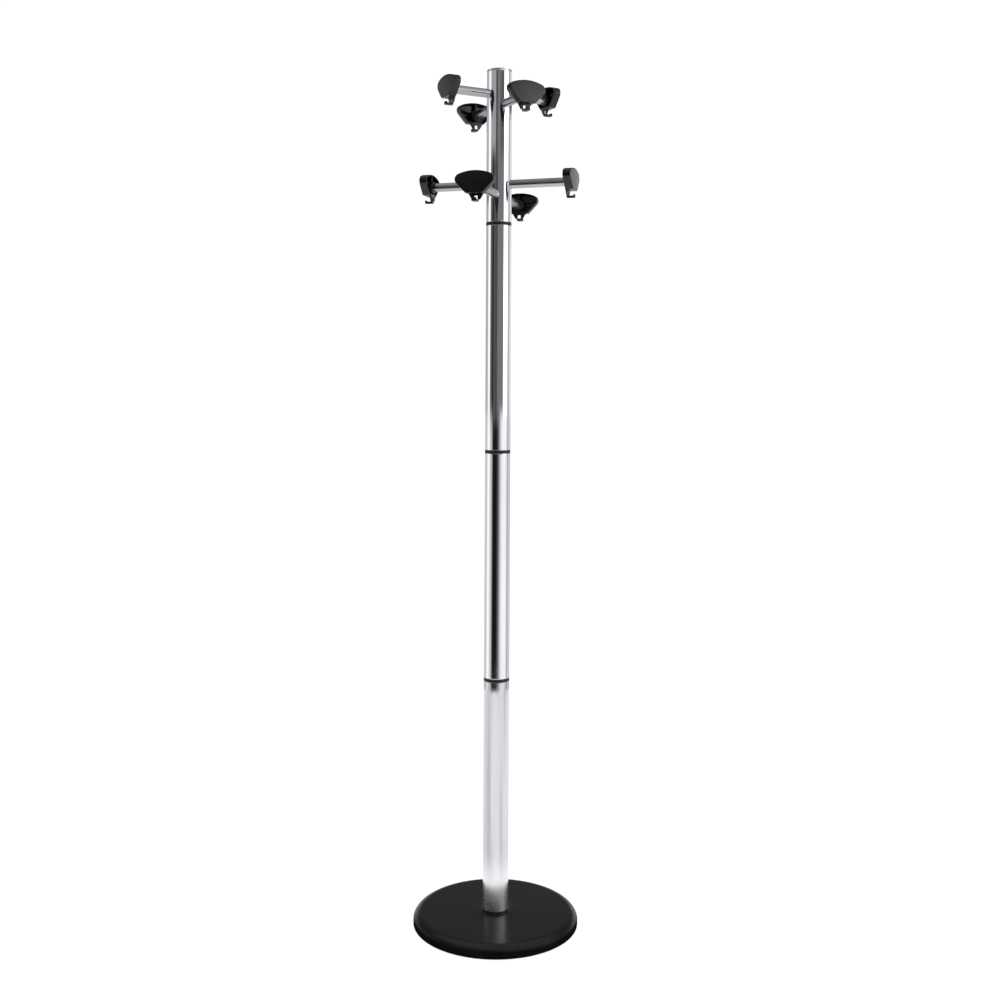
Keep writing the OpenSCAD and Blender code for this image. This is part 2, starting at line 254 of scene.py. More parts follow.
def arm_plate(net):
    """Satin plated arms: greyer and softer than the pole, drawn lengthwise."""
    place = net.place()
    drawn = net.noise(net.stretched(place, (160, 160, 3)), 1.0, 3.0)
    haze = net.noise(place, 35.0, 4.0)
    tint = net.mix(drawn.between(0.3, 0.7), (0.36, 0.365, 0.38, 1), (0.48, 0.49, 0.505, 1))
    return {
        "Base Color": tint, "Metallic": 1.0, "Roughness": haze.between(0.3, 0.7, 0.20, 0.29),
        "Normal": net.bump(drawn, 0.06, 0.2 * MM),
    }


def foot_chrome_painted_shade_and_light(net):
    """The same plate on the lower tube: darker and streaked along it as painted shade, near white at its
    foot as painted light, and rougher near the floor, dulled by shoes and mops.
    """
    return chrome(net, foot=True)


def peg_plastic(net):
    """Black moulding with a fine satin texture, a little rubbed on its high spots."""
    place = net.place()
    grain = net.noise(place, 2600.0, 2.0)
    flow = net.noise(place, 38.0, 4.0)
    rub = net.noise(place, 120.0, 5.0, 0.6)
    patches = flow.between(0.35, 0.7)
    tint = net.mix(patches, (0.0012, 0.0012, 0.0014, 1), (0.0025, 0.0026, 0.0030, 1))
    rough = flow.between(0.3, 0.7, 0.22, 0.29) - rub.between(0.58, 0.75, 0.0, 0.04)
    return {
        "Base Color": tint, "Roughness": rough, "IOR": 1.47,
        "Normal": net.bump(grain, 0.18, 0.05 * MM),
    }


def base_plastic(net):
    """Black cover: a gloss that fades down the edge, soft orange-peel, dust and hairline scuffs."""
    place = net.place()
    peel = net.noise(place, 420.0, 2.0)
    dust = net.noise(place, 22.0, 6.0, 0.65)
    specks = net.noise(place, 900.0, 2.0, 0.5)
    scuffs = net.noise(net.stretched(place, (40, 900, 40)), 1.0, 2.0)
    soft = dust.between(0.42, 0.75)
    tint = net.mix(soft, (0.0045, 0.0045, 0.0052, 1), (0.0085, 0.0085, 0.0095, 1))
    dusty = net.mix(specks.between(0.70, 0.78, 0.0, 0.3), tint, (0.045, 0.045, 0.044, 1))
    rough = soft * 0.07 + scuffs.between(0.66, 0.74, 0.0, 0.10) + 0.34
    height = net.height(place)
    return {
        "Base Color": dusty, "Roughness": rough, "IOR": 1.5, "Specular IOR Level": 0.0,
        "Coat Weight": height.between(0.013, 0.023) * (0.85 - soft * 0.12),
        "Coat Roughness": 0.22, "Coat IOR": 1.5, "Coat Tint": (0.94, 0.94, 1.0, 1),
        "Normal": net.bump(peel, 0.10, 0.08 * MM),
    }


def flange_plastic(net):
    """Matt black moulding with turned-looking rings."""
    place = net.place()
    grain = net.noise(place, 1800.0, 3.0)
    flow = net.noise(place, 60.0, 3.0)
    tint = net.mix(flow.between(0.3, 0.7), (0.006, 0.006, 0.0065, 1), (0.012, 0.012, 0.0125, 1))
    return {
        "Base Color": tint, "Roughness": flow.between(0.3, 0.7, 0.42, 0.55),
        "Normal": net.bump(grain, 0.25, 0.06 * MM),
    }


def soft_rubber(net):
    """Dull black rubber, mottled, with a bloom of dust."""
    place = net.place()
    mottle = net.noise(place, 150.0, 5.0, 0.6)
    grain = net.noise(place, 1500.0, 3.0)
    tint = net.mix(mottle.between(0.4, 0.75), (0.005, 0.005, 0.005, 1), (0.014, 0.0135, 0.013, 1))
    return {
        "Base Color": tint, "Roughness": mottle.between(0.3, 0.8, 0.72, 0.9),
        "Normal": net.bump(grain, 0.4, 0.08 * MM),
    }


def zinc_steel(net):
    """Zinc plated fixings: faintly mottled and brushed by the tool."""
    place = net.place()
    mottle = net.noise(place, 320.0, 5.0, 0.6)
    brush = net.noise(net.stretched(place, (300, 300, 3000)), 1.0, 3.0)
    tint = net.mix(mottle.between(0.35, 0.7), (0.55, 0.56, 0.58, 1), (0.40, 0.41, 0.42, 1))
    return {
        "Base Color": tint, "Metallic": 1.0,
        "Roughness": mottle.between(0.3, 0.7, 0.26, 0.42) + brush.between(0.5, 0.8, 0.0, 0.08),
        "Normal": net.bump(brush, 0.15, 0.03 * MM),
    }


def cast_iron(net):
    """Cast weight: coarse, dark and pitted, with a little rust in the pits."""
    place = net.place()
    lumps = net.noise(place, 90.0, 6.0, 0.65)
    pits = net.noise(place, 700.0, 3.0)
    rust = lumps.between(0.6, 0.8) * pits.between(0.5, 0.7)
    tint = net.mix(rust, (0.055, 0.055, 0.057, 1), (0.16, 0.065, 0.028, 1))
    return {
        "Base Color": tint, "Metallic": 0.6, "Roughness": lumps.between(0.3, 0.7, 0.6, 0.85),
        "Normal": net.bump(lumps + pits * 0.4, 0.6, 0.4 * MM),
    }


def natural_nylon(net):
    """Off-white nylon with a waxy, slightly cloudy surface."""
    place = net.place()
    cloud = net.noise(place, 70.0, 4.0)
    grain = net.noise(place, 1300.0, 2.0)
    tint = net.mix(cloud.between(0.3, 0.7), (0.70, 0.69, 0.63, 1), (0.62, 0.60, 0.53, 1))
    return {
        "Base Color": tint, "Roughness": cloud.between(0.3, 0.7, 0.38, 0.5),
        "Normal": net.bump(grain, 0.15, 0.05 * MM),
    }


def pale_floor(net):
    """Plain pale studio floor with the faintest unevenness."""
    place = net.place()
    soft = net.noise(place, 1.3, 2.0)
    tint = net.mix(soft.between(0.3, 0.7), (0.27, 0.27, 0.27, 1), (0.25, 0.25, 0.255, 1))
    return {
        "Base Color": tint, "Roughness": soft.between(0.3, 0.7, 0.7, 0.8),
        "Specular IOR Level": 0.0, "Emission Color": (1, 1, 1, 1), "Emission Strength": 0.88,
    }


CHROME = finish_of("polished_chrome", chrome)
ARM_CHROME = finish_of("satin_chrome_arm", arm_plate)
# The lower tube's chrome, with painted shade along it and painted light at its foot.
FOOT_CHROME_PAINTED_SHADE_AND_LIGHT = finish_of("polished_chrome_by_the_foot", foot_chrome_painted_shade_and_light)
PEG_BLACK = finish_of("peg_black_plastic", peg_plastic)
COVER_BLACK = finish_of("cover_black_plastic", base_plastic)
FLANGE_BLACK = finish_of("flange_black_plastic", flange_plastic)
RUBBER = finish_of("black_rubber", soft_rubber)
ZINC = finish_of("zinc_plated_steel", zinc_steel)
IRON = finish_of("cast_iron_weight", cast_iron)
NYLON = finish_of("natural_nylon_block", natural_nylon)
FLOOR = finish_of("pale_studio_floor", pale_floor)

SLOT_FINISH = {
    "chrome_pole": CHROME, "chrome_cap": CHROME, "chrome_arm": ARM_CHROME,
    "black_peg": PEG_BLACK, "black_plug": FLANGE_BLACK, "rubber_washer": RUBBER,
    "black_cover": COVER_BLACK, "black_plate": FLANGE_BLACK, "iron_weight": IRON,
    "rubber_feet": RUBBER, "steel_fixings": ZINC, "natural_nylon": NYLON,
}
NODE_SLOT = {s["node"]: s["material_slot"] for s in frame["record"]["subparts"]}
NODE_BODY = {n: b for b, ns in frame["record"]["behaviour"]["bodies"].items() for n in ns}


# ---------------------------------------------------------------- meshes
def arc(x, y, radius, start, end, steps):
    """Points of an arc, angles in degrees."""
    turns = [radians(start + (end - start) * i / steps) for i in range(steps + 1)]
    return [(x + radius * cos(t), y + radius * sin(t)) for t in turns]


def circle(radius, count):
    """A full turn of count points."""
    return arc(0, 0, radius, 0, 360 * (count - 1) / count, count - 1)


def oval_arc(x, y, rx, ry, start, end, steps):
    """Points of an ellipse's arc."""
    return [(x + rx * px, y + ry * py) for px, py in arc(0, 0, 1, start, end, steps)]


def smooth(mesh, angle=32):
    """Smooth shading that stops at edges sharper than this angle."""
    mesh.polygons.foreach_set("use_smooth", [True] * len(mesh.polygons))
    mesh.set_sharp_from_angle(angle=radians(angle))
    mesh.update()


def mesh_from(name, points, faces):
    """A mesh with its doubled points merged and its faces turned outwards."""
    mesh = bpy.data.meshes.new(name)
    mesh.from_pydata(points, [], faces)
    mesh.validate()
    shell = bmesh.new()
    shell.from_mesh(mesh)
    bmesh.ops.remove_doubles(shell, verts=shell.verts, dist=1e-7)
    bmesh.ops.recalc_face_normals(shell, faces=shell.faces)
    shell.to_mesh(mesh)
    shell.free()
    return mesh


def lathe(name, profile, segments=192):
    """A closed (radius, height) profile turned about the Z axis."""
    points = []
    faces = []
    count = len(profile)
    for i in range(segments):
        turn = 2 * pi * i / segments
        points += [(r * cos(turn), r * sin(turn), z) for r, z in profile]
    for i in range(segments):
        for j in range(count):
            a, b = i * count + j, i * count + (j + 1) % count
            c, d = (i + 1) % segments * count + (j + 1) % count, (i + 1) % segments * count + j
            faces.append((a, b, c, d))
    mesh = mesh_from(name, points, faces)
    smooth(mesh)
    return mesh


def loft(rings):
    """Points and faces of a closed skin over equal rings, capped at both ends."""
    count = len(rings[0])
    points = [p for ring in rings for p in ring]
    faces = []
    for k in range(len(rings) - 1):
        for j in range(count):
            a, b = k * count + j, k * count + (j + 1) % count
            faces.append((a, b, b + count, a + count))
    faces.append(tuple(reversed(range(count))))
    faces.append(tuple(range((len(rings) - 1) * count, len(rings) * count)))
    return points, faces


def place_piece(mesh, name, nodes, where=None):
    """Puts a mesh in the scene as the visible piece of these CAD nodes."""
    piece = bpy.data.objects.new(name, mesh)
    bpy.context.scene.collection.objects.link(piece)
    if where is not None:
        piece.matrix_world = where
    slot = NODE_SLOT[nodes[0]]
    if not mesh.materials:
        mesh.materials.append(SLOT_FINISH[slot])
    bpy.context.view_layer.update()
    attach(piece, NODE_BODY[nodes[0]])
    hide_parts(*nodes)


def rounded(x, y, radius, corner):
    """Five points that round a profile's corner; corner is the quadrant that the arc faces."""
    start = {"ne": 0, "nw": 90, "sw": 180, "se": 270}[corner]
    dx = -radius if "e" in corner else radius
    dy = -radius if "n" in corner else radius
    return arc(x + dx, y + dy, radius, start, start + 90, 4)


def tube_profile(low, high, radius, wall):
    """A tube's section; the extra points by its ends keep its long sides mirror straight."""
    inner = radius - wall
    edge = TUBE_EDGE
    hold = 3 * edge
    return (rounded(radius, low, edge, "se") + [(radius, low + hold), (radius, high - hold)]
            + rounded(radius, high, edge, "ne")
            + [(inner, high), (inner, high - hold), (inner, low + hold), (inner, low)])


def radius_of(node):
    """Half of a CAD node's width."""
    low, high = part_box(node)
    return (high.x - low.x) / 2


# ---------------------------------------------------------------- pole
def pole_tubes():
    """The three plain tubes."""
    for node in ("lower_tube", "middle_tube", "upper_tube"):
        low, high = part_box(node)
        profile = tube_profile(low.z, high.z, radius_of(node), TUBE_WALL)
        mesh = lathe(node + "_turned", profile, 256)
        mesh.materials.append(FOOT_CHROME_PAINTED_SHADE_AND_LIGHT if node == "lower_tube" else CHROME)
        place_piece(mesh, node + "_polished", [node])


def plug_profile(flange_z, body_z, radius, skirt_r, up):
    """Flange with softened edges, then skirt, web and bored boss; up is true for a tube's upper end."""
    sign = 1 if up else -1
    inner = skirt_r - PLUG_WALL
    edge = 0.5 * MM
    outside = rounded(radius, 0, edge, "se") + rounded(radius, FLANGE, edge, "ne")
    depth = abs(body_z - flange_z)
    web = -PLUG_WEB + 1 * MM
    local = outside + [
        (STUD_HOLE_R, FLANGE), (STUD_HOLE_R, -depth), (PLUG_BOSS_R, -depth), (PLUG_BOSS_R, web),
        (inner, web), (inner, -depth), (skirt_r, -depth), (skirt_r, 0),
    ]
    return [(r, flange_z + sign * z) for r, z in local]


def nodes_of(slot):
    """The CAD nodes with this material slot."""
    return [node for node, own in NODE_SLOT.items() if own == slot]


def plugs():
    """Plugs in the tubes' ends; their flanges are the black rings."""
    for node in nodes_of("black_plug"):
        low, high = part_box(node)
        up = node.endswith("top_plug")
        flange_z = high.z - FLANGE if up else low.z + FLANGE
        body_z = low.z if up else high.z
        skirt_r = radius_of(node) - TUBE_WALL - PLUG_GAP
        profile = plug_profile(flange_z, body_z, radius_of(node), skirt_r, up)
        place_piece(lathe(node + "_turned", profile, 192), node + "_moulded", [node])


def washers():
    """The thin washers between two flanges, drawn in a little from the flanges' rims."""
    for node in nodes_of("rubber_washer"):
        low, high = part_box(node)
        radius = radius_of(node) - 0.35 * MM
        edge = 0.3 * MM
        profile = (rounded(radius, low.z, edge, "se") + rounded(radius, high.z, edge, "ne")
                   + [(STUD_HOLE_R, high.z), (STUD_HOLE_R, low.z)])
        place_piece(lathe(node + "_turned", profile, 160), node + "_ring", [node])


def threaded_rod(name, low, high, radius):
    """A bar with a helical thread, chamfered at both ends."""
    around = 40
    rows_per_turn = 8
    rows = int((high - low) / (THREAD_PITCH / rows_per_turn))
    rings = []
    for k in range(rows + 1):
        z = low + (high - low) * k / rows
        ends = min(z - low, high - z)
        ring = []
        for j in range(around):
            turn = 2 * pi * j / around
            phase = (z / THREAD_PITCH - turn / (2 * pi)) % 1.0
            groove = max(0.0, 1 - abs(phase - 0.5) * THREAD_SLOPE) * THREAD_DEPTH
            r = min(radius - groove, radius - ROD_CHAMFER + ends)
            ring.append((r * cos(turn), r * sin(turn), z))
        rings.append(ring)
    mesh = mesh_from(name, *loft(rings))
    smooth(mesh, 60)
    return mesh


def studs():
    """The threaded rods that hold the sections together."""
    for node in ("lower_joint_stud", "middle_joint_stud", "upper_joint_stud"):
        low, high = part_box(node)
        rod = threaded_rod(node + "_thread", low.z, high.z, radius_of(node))
        place_piece(rod, node + "_threaded", [node])


# The direction that each arm lies along, in degrees
ARMS = {
    "lower_arm_high": 0, "lower_arm_low": 90, "upper_arm_high": 45, "upper_arm_low": 135,
}


def arm_facts(node):
    """Height, radius and half length of an arm, from its CAD box."""
    low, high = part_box(node)
    radius = (high.z - low.z) / 2
    if ARMS[node] % 90 == 0:
        half = max(high.x - low.x, high.y - low.y) / 2
    else:
        half = (high.x - low.x) / 2 / cos(radians(45)) - radius
    return (low.z + high.z) / 2, radius, half


def along(azimuth, height):
    """Turns a piece's +Z to lie along a level direction at a height."""
    turn = Matrix.Rotation(radians(azimuth), 4, "Z") @ Matrix.Rotation(radians(90), 4, "Y")
    return Matrix.Translation((0, 0, height)) @ turn


def top_tube():
    """The tube that the arms pass through, with its eight holes cut."""
    node = "head_tube"
    low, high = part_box(node)
    radius = radius_of(node)
    edge = TUBE_EDGE
    gaps = 110
    rows = [low.z + edge + (high.z - low.z - 2 * edge) * k / gaps for k in range(1, gaps)]
    inner = radius - TUBE_WALL
    profile = (rounded(radius, low.z, edge, "se") + [(radius, z) for z in rows]
               + rounded(radius, high.z, edge, "ne")
               + [(inner, z) for z in [high.z] + rows[::-1] + [low.z]])
    mesh = lathe("head_tube_turned", profile, 192)
    body = bpy.data.objects.new("head_tube_drilled", mesh)
    bpy.context.scene.collection.objects.link(body)
    drills = []
    for arm in ARMS:
        height, arm_r, _ = arm_facts(arm)
        drill_r = arm_r + ARM_HOLE_GAP
        rings = [[(x, y, z) for x, y in circle(drill_r, 96)] for z in (-2 * radius, 2 * radius)]
        drill = bpy.data.objects.new("drill", mesh_from("drill", *loft(rings)))
        drill.matrix_world = along(ARMS[arm], height)
        bpy.context.scene.collection.objects.link(drill)
        cut = body.modifiers.new("hole", "BOOLEAN")
        cut.operation = "DIFFERENCE"
        cut.solver = "EXACT"
        cut.object = drill
        drills.append(drill)
    drilled = baked(body)
    for drill in drills:
        bpy.data.objects.remove(drill)
    bpy.data.objects.remove(body)
    smooth(drilled, 40)
    place_piece(drilled, "head_tube_polished", [node])


def baked(piece):
    """The mesh of an object with its modifiers applied."""
    bpy.context.view_layer.update()
    graph = bpy.context.evaluated_depsgraph_get()
    return bpy.data.meshes.new_from_object(piece.evaluated_get(graph))


def cap():
    """The cap that closes the pole's top."""
    node = "top_cap"
    low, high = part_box(node)
    radius = radius_of(node)
    plug_r = radius - TUBE_WALL - PLUG_GAP
    seat = high.z - CAP_HEIGHT
    rim_r = radius - 0.25 * MM
    inner = plug_r - PLUG_WALL
    profile = ([(AXIS_R, seat), (inner, seat), (inner, low.z), (plug_r, low.z), (plug_r, seat)]
               + rounded(rim_r, seat, 0.3 * MM, "se")
               + arc(rim_r - CAP_CORNER, high.z - CAP_CORNER, CAP_CORNER, 0, 90, 8)
               + [(AXIS_R, high.z)])
    place_piece(lathe("top_cap_turned", profile, 192), "top_cap_polished", [node])


def arms():
    """The four arm tubes."""
    for node, azimuth in ARMS.items():
        height, radius, half = arm_facts(node)
        mesh = lathe(node + "_turned", tube_profile(-half, half, radius, ARM_WALL), 128)
        place_piece(mesh, node + "_polished", [node], along(azimuth, height))


# ---------------------------------------------------------------- base
def base_cover():
    """The moulded cover: low collar, flat top, wide rounded edge and short rim."""
    node = "base_cover"
    low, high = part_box(node)
    rim_r = radius_of(node)
    x = rim_r - BASE_EDGE
    collar_foot = COLLAR_R + COLLAR_FILLET
    rise = BASE_TOP - BASE_RIM
    roof = BASE_TOP - BASE_WALL
    profile = [(BOLT_HOLE_R, high.z)] + rounded(COLLAR_R, high.z, 0.6 * MM, "ne")[::-1]
    profile += arc(collar_foot, BASE_TOP + COLLAR_FILLET, COLLAR_FILLET, 180, 270, 8)
    profile += [(collar_foot + (x - collar_foot) * t, BASE_TOP) for t in (0.25, 0.5, 0.75, 0.95)]
    profile += oval_arc(x, BASE_RIM, BASE_EDGE, rise, 90, 0, 28)
    profile += rounded(rim_r, low.z, 0.8 * MM, "se")[::-1]
    profile += [(rim_r - BASE_WALL, low.z), (rim_r - BASE_WALL, BASE_RIM)]
    profile += oval_arc(x, BASE_RIM, BASE_EDGE - BASE_WALL, rise - BASE_WALL, 0, 90, 16)[1:]
    profile += [(BOLT_HOLE_R, roof)]
    place_piece(lathe("base_cover_turned", profile, 320), "base_cover_moulded", [node])


def feet():
    """Soft pads with rounded lower edges, evenly round the base."""
    node = "base_feet"
    low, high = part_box(node)
    ring_r = high.x - FOOT_PAD_R
    profile = ([(AXIS_R, low.z)] + rounded(FOOT_PAD_R, low.z, 0.9 * MM, "se")
               + [(FOOT_PAD_R, high.z), (AXIS_R, high.z)])
    joined = bmesh.new()
    pad = lathe("foot_pad", profile, 64)
    for i in range(FEET):
        turn = 2 * pi * i / FEET
        pad.transform(Matrix.Translation((ring_r * cos(turn), ring_r * sin(turn), 0)))
        joined.from_mesh(pad)
        pad.transform(Matrix.Translation((-ring_r * cos(turn), -ring_r * sin(turn), 0)))
    mesh = bpy.data.meshes.new("feet_pads")
    joined.to_mesh(mesh)
    joined.free()
    smooth(mesh)
    place_piece(mesh, "base_feet_pads", [node])


# ---------------------------------------------------------------- peg heads
# The fan's outline: (across, up) centres of its arcs, and the angles where they meet
CORNER_U = PEG_W / 2 - CORNER_R
CORNER_V = PEG_UP - CORNER_DROP
BOTTOM_V = BOTTOM_R - PEG_DOWN
TOP_REACH = PEG_UP - CORNER_R
TOP_V = (TOP_REACH ** 2 - CORNER_U ** 2 - CORNER_V ** 2) / (2 * (TOP_REACH - CORNER_V))
TOP_R = PEG_UP - TOP_V
CORNER_A = degrees(atan2(CORNER_V - TOP_V, CORNER_U))
SIDE = (BOTTOM_U - CORNER_U, BOTTOM_V - CORNER_V)
SIDE_A = degrees(atan2(SIDE[1], SIDE[0]) + acos((CORNER_R - BOTTOM_R) / hypot(*SIDE)))
FACE_MIDDLE = (0.0, 4.0)


def fan_outline(inset):
    """Outline of a peg head moved in by inset, anticlockwise from the top as (across, up) points."""
    right = arc(0, TOP_V, TOP_R - inset, 90, CORNER_A, 18)[:-1]
    right += arc(CORNER_U, CORNER_V, CORNER_R - inset, CORNER_A, SIDE_A, 12)
    lows = arc(BOTTOM_U, BOTTOM_V, BOTTOM_R - inset, SIDE_A, -90, 8)
    first, last = right[-1], lows[0]
    right += [(first[0] + (last[0] - first[0]) * t / 10, first[1] + (last[1] - first[1]) * t / 10)
              for t in range(1, 10)]
    right += lows
    right += [(lows[-1][0] * (1 - t / 6), lows[-1][1]) for t in range(1, 6)]
    bottom = [(0.0, lows[-1][1])]
    left = [(-u, v) for u, v in right[1:]][::-1]
    return (right + bottom + left)[::-1]


def dome(u, v):
    """How far the face falls back from its middle."""
    return (u - FACE_MIDDLE[0]) ** 2 / CROWN_ACROSS + (v - FACE_MIDDLE[1]) ** 2 / CROWN_UP


def shell_part():
    """The fan-shaped shell: domed face, rounded edge, drafted sides and an open back."""
    rings = []
    edge = SHELL_EDGE

    def ring(inset, x, follow=0.0, scale=1.0):
        """The outline moved in by inset, at depth x; follow bends it along with the face."""
        points = []
        for u, v in fan_outline(inset):
            u2 = FACE_MIDDLE[0] + (u - FACE_MIDDLE[0]) * scale
            v2 = FACE_MIDDLE[1] + (v - FACE_MIDDLE[1]) * scale
            points.append((x - follow * dome(u2, v2), u2, v2))
        rings.append(points)

    inner_floor = -PEG_FLOOR - 1.4
    ring(PEG_WALL + 0.9, inner_floor, 0.35, 0.02)
    ring(PEG_WALL + 0.9, inner_floor, 0.35, 0.5)
    ring(PEG_WALL + 0.9, inner_floor, 0.35)
    ring(PEG_WALL + 0.35, inner_floor - 0.5, 0.3)
    ring(PEG_WALL + 0.1, inner_floor - 1.4, 0.2)
    ring(PEG_WALL - 0.35, -PEG_T + 0.4)
    ring(PEG_WALL - 0.5, -PEG_T + 0.1)
    ring(PEG_WALL - 0.8, -PEG_T)
    ring(0.7, -PEG_T)
    ring(0.25, -PEG_T + 0.15)
    ring(0.0, -PEG_T + 0.7)
    ring(0.05, -PEG_T * 0.6, 0.3)
    for k in range(SHELL_EDGE_STEPS + 1):
        a = radians(90 * k / SHELL_EDGE_STEPS)
        ring(0.1 + edge * (1 - cos(a)), -edge * (1 - sin(a)), 1.0)
    for scale in (0.92, 0.8, 0.65, 0.5, 0.35, 0.2, 0.08, 0.01):
        ring(0.1 + edge, 0.0, 1.0, scale)
    return loft(rings)


def turned_part(profile):
    """A (radius, x) profile turned about the arm's axis."""
    segments = 72
    rings = [[(x, r * cos(2 * pi * j / segments), r * sin(2 * pi * j / segments))
              for j in range(segments)] for r, x in profile]
    points = [p for ring in rings for p in ring]
    faces = []
    for k in range(len(rings)):
        for j in range(segments):
            a, b = k * segments + j, k * segments + (j + 1) % segments
            c = (k + 1) % len(rings) * segments
            faces.append((a, b, c + (j + 1) % segments, c + j))
    return points, faces


def socket_part():
    """The socket that takes the arm: a tapered boss with a softened mouth and a bore."""
    bore = SOCKET_BORE
    mouth = -PEG_T - SOCKET_LIP
    floor = -PEG_FLOOR - 0.6
    outer = [(SOCKET_R + 0.7, floor), (SOCKET_R + 0.25, floor - 3), (SOCKET_R, mouth + 0.8),
             (SOCKET_R - 0.25, mouth + 0.25), (SOCKET_R - 0.8, mouth)]
    inner = [(bore + 0.5, mouth), (bore, mouth + 0.5), (bore, -ARM_INSET),
             (SCREW_R, -ARM_INSET), (SCREW_R, floor - 0.2)]
    closed = [(0.05, floor - 0.2), (0.05, floor)]
    return turned_part(outer + inner + closed)


def slab_part(outline, back, front, edge):
    """A plate with an (across, up) outline, from x = back to front, its edges softened."""
    middle = (sum(p[0] for p in outline) / len(outline), sum(p[1] for p in outline) / len(outline))

    def pulled(amount):
        """The outline drawn in towards its middle."""
        made = []
        for u, v in outline:
            away = hypot(u - middle[0], v - middle[1])
            made.append((u - (u - middle[0]) / away * amount, v - (v - middle[1]) / away * amount))
        return made

    steps = [(edge, back), (edge * 0.3, back + edge * 0.3), (0, back + edge),
             (0, front - edge), (edge * 0.3, front - edge * 0.3), (edge, front)]
    return loft([[(x, u, v) for u, v in pulled(amount)] for amount, x in steps])


def soft_rectangle(half, low, high, soft, steps):
    """Outline of a rectangle with rounded corners, half its width to each side."""
    outline = []
    corners = ((half, high, 0), (-half, high, 90), (-half, low, 180), (half, low, 270))
    for u, v, quadrant in corners:
        cu = u - soft if u > 0 else u + soft
        cv = v - soft if v > low else v + soft
        outline += arc(cu, cv, soft, quadrant, quadrant + 90, steps)
    return outline


def filled(points, steps):
    """Extra points along each straight side of an outline."""
    made = []
    for i, (u, v) in enumerate(points):
        nu, nv = points[(i + 1) % len(points)]
        made += [(u + (nu - u) * k / steps, v + (nv - v) * k / steps) for k in range(steps)]
    return made


def strap_half():
    """Right half of the strap, from the shell's lower wall down to the rounded tip."""
    tip_r = LIP_W / 2
    lip_top = -HOOK_DOWN + LIP_T
    return ([(BOTTOM_U + 0.3, -PEG_DOWN + 4), (BOTTOM_U - 0.3, -PEG_DOWN), (tip_r + 2.6, lip_top)]
            + arc(0, -HOOK_DOWN + tip_r, tip_r, 0, -90, 10)[1:])


def rib_part():
    """Upright rib through the socket."""
    low, high = -PEG_DOWN + 1.5, PEG_UP - 1.5
    outline = filled([(-1.1, low), (1.1, low), (0.9, high), (-0.9, high)], 3)
    return slab_part(outline, -PEG_T + 2.5, -PEG_FLOOR - 0.8, RIB_EDGE)


def side_rib_part(side):
    """Level rib from the socket to a side corner."""
    near, far = side * 10.5, side * 37.8
    outline = filled([(near, 4.4), (far, 9.4), (far, 11.0), (near, 6.0)], 3)
    outline = outline if side > 0 else outline[::-1]
    return slab_part(outline, -PEG_T + 4, -PEG_FLOOR - 0.8, RIB_EDGE)


def lip_part():
    """The lip: a rounded tongue pointing outwards."""
    low, high = -HOOK_DOWN, -HOOK_DOWN + LIP_T
    section = soft_rectangle(LIP_W / 2, low, high, LIP_CORNER, 5)
    rings = []
    back, front = -PEG_T, -LIP_END
    middle = (low + high) / 2
    for x, k in ((back, 0.8), (back + 0.35, 0.94), (back + 0.9, 1.0), (front - 1.6, 1.0),
                 (front - 0.8, 0.95), (front - 0.25, 0.86), (front, 0.7)):
        rings.append([(x, u * k, middle + (v - middle) * k) for u, v in section])
    return loft(rings)


def nub_part():
    """The nub at the end of the lip that keeps a loop on it."""
    base = -HOOK_DOWN + LIP_T - 1.2
    top = -HOOK_DOWN + LIP_T + NUB_H
    half = LIP_W / 2 - 0.3
    back, front = -LIP_END - NUB_T - 0.4, -LIP_END
    middle = (back + front) / 2
    rings = []
    for v, k in ((base, 1.0), (top - 1.6, 0.95), (top - 0.8, 0.84), (top - 0.25, 0.62), (top, 0.3)):
        depth = (front - back) / 2 * k
        width = half - (1 - k) * 1.6
        soft = min(NUB_CORNER, depth * 0.9)
        outline = soft_rectangle(width, -depth, depth, soft, 4)
        rings.append([(middle + x, u, v) for u, x in outline])
    return loft(rings)


def window_part():
    """The tool that cuts the window through the strap."""
    low = -HOOK_DOWN + LIP_T + 0.5
    high = low + WINDOW_H
    outline = soft_rectangle(WINDOW_W / 2, low, high, WINDOW_CORNER, 4)
    return loft([[(x, u, v) for u, v in outline] for x in (-PEG_T - 2, -PEG_T + STRAP_T + 2)])


def strap_part():
    """The flat strap that carries the lip."""
    right = strap_half()
    left = [(-u, v) for u, v in right[:-1]][::-1]
    return slab_part(filled(right + left, 2), -PEG_T, -PEG_T + STRAP_T, STRAP_EDGE)


def peg_mesh():
    """All of a peg head's walls, ribs and hook joined into one skin, then the window cut."""
    parts = [shell_part(), socket_part(), rib_part(), side_rib_part(1), side_rib_part(-1),
             strap_part(), lip_part(), nub_part()]
    made = []
    for points, faces in parts + [window_part()]:
        piece = bpy.data.objects.new("peg_part", mesh_from("peg_part", points, faces))
        bpy.context.scene.collection.objects.link(piece)
        made.append(piece)
    body = made[0]
    for piece in made[1:]:
        join = body.modifiers.new("join", "BOOLEAN")
        join.operation = "DIFFERENCE" if piece is made[-1] else "UNION"
        join.solver = "EXACT"
        join.object = piece
    mesh = baked(body)
    for piece in made:
        bpy.data.objects.remove(piece)
    mesh.transform(Matrix.Scale(MM, 4))
    smooth(mesh, 38)
    mesh.name = "peg_head"
    return mesh


# Each head's arm, and the turn that brings it to the arm's end
PEGS = {
    "peg_lower_right": ("lower_arm_high", 0), "peg_lower_left": ("lower_arm_high", 180),
    "peg_lower_back": ("lower_arm_low", 0), "peg_lower_front": ("lower_arm_low", 180),
    "peg_upper_back_right": ("upper_arm_high", 0), "peg_upper_front_left": ("upper_arm_high", 180),
    "peg_upper_back_left": ("upper_arm_low", 0), "peg_upper_front_right": ("upper_arm_low", 180),
}


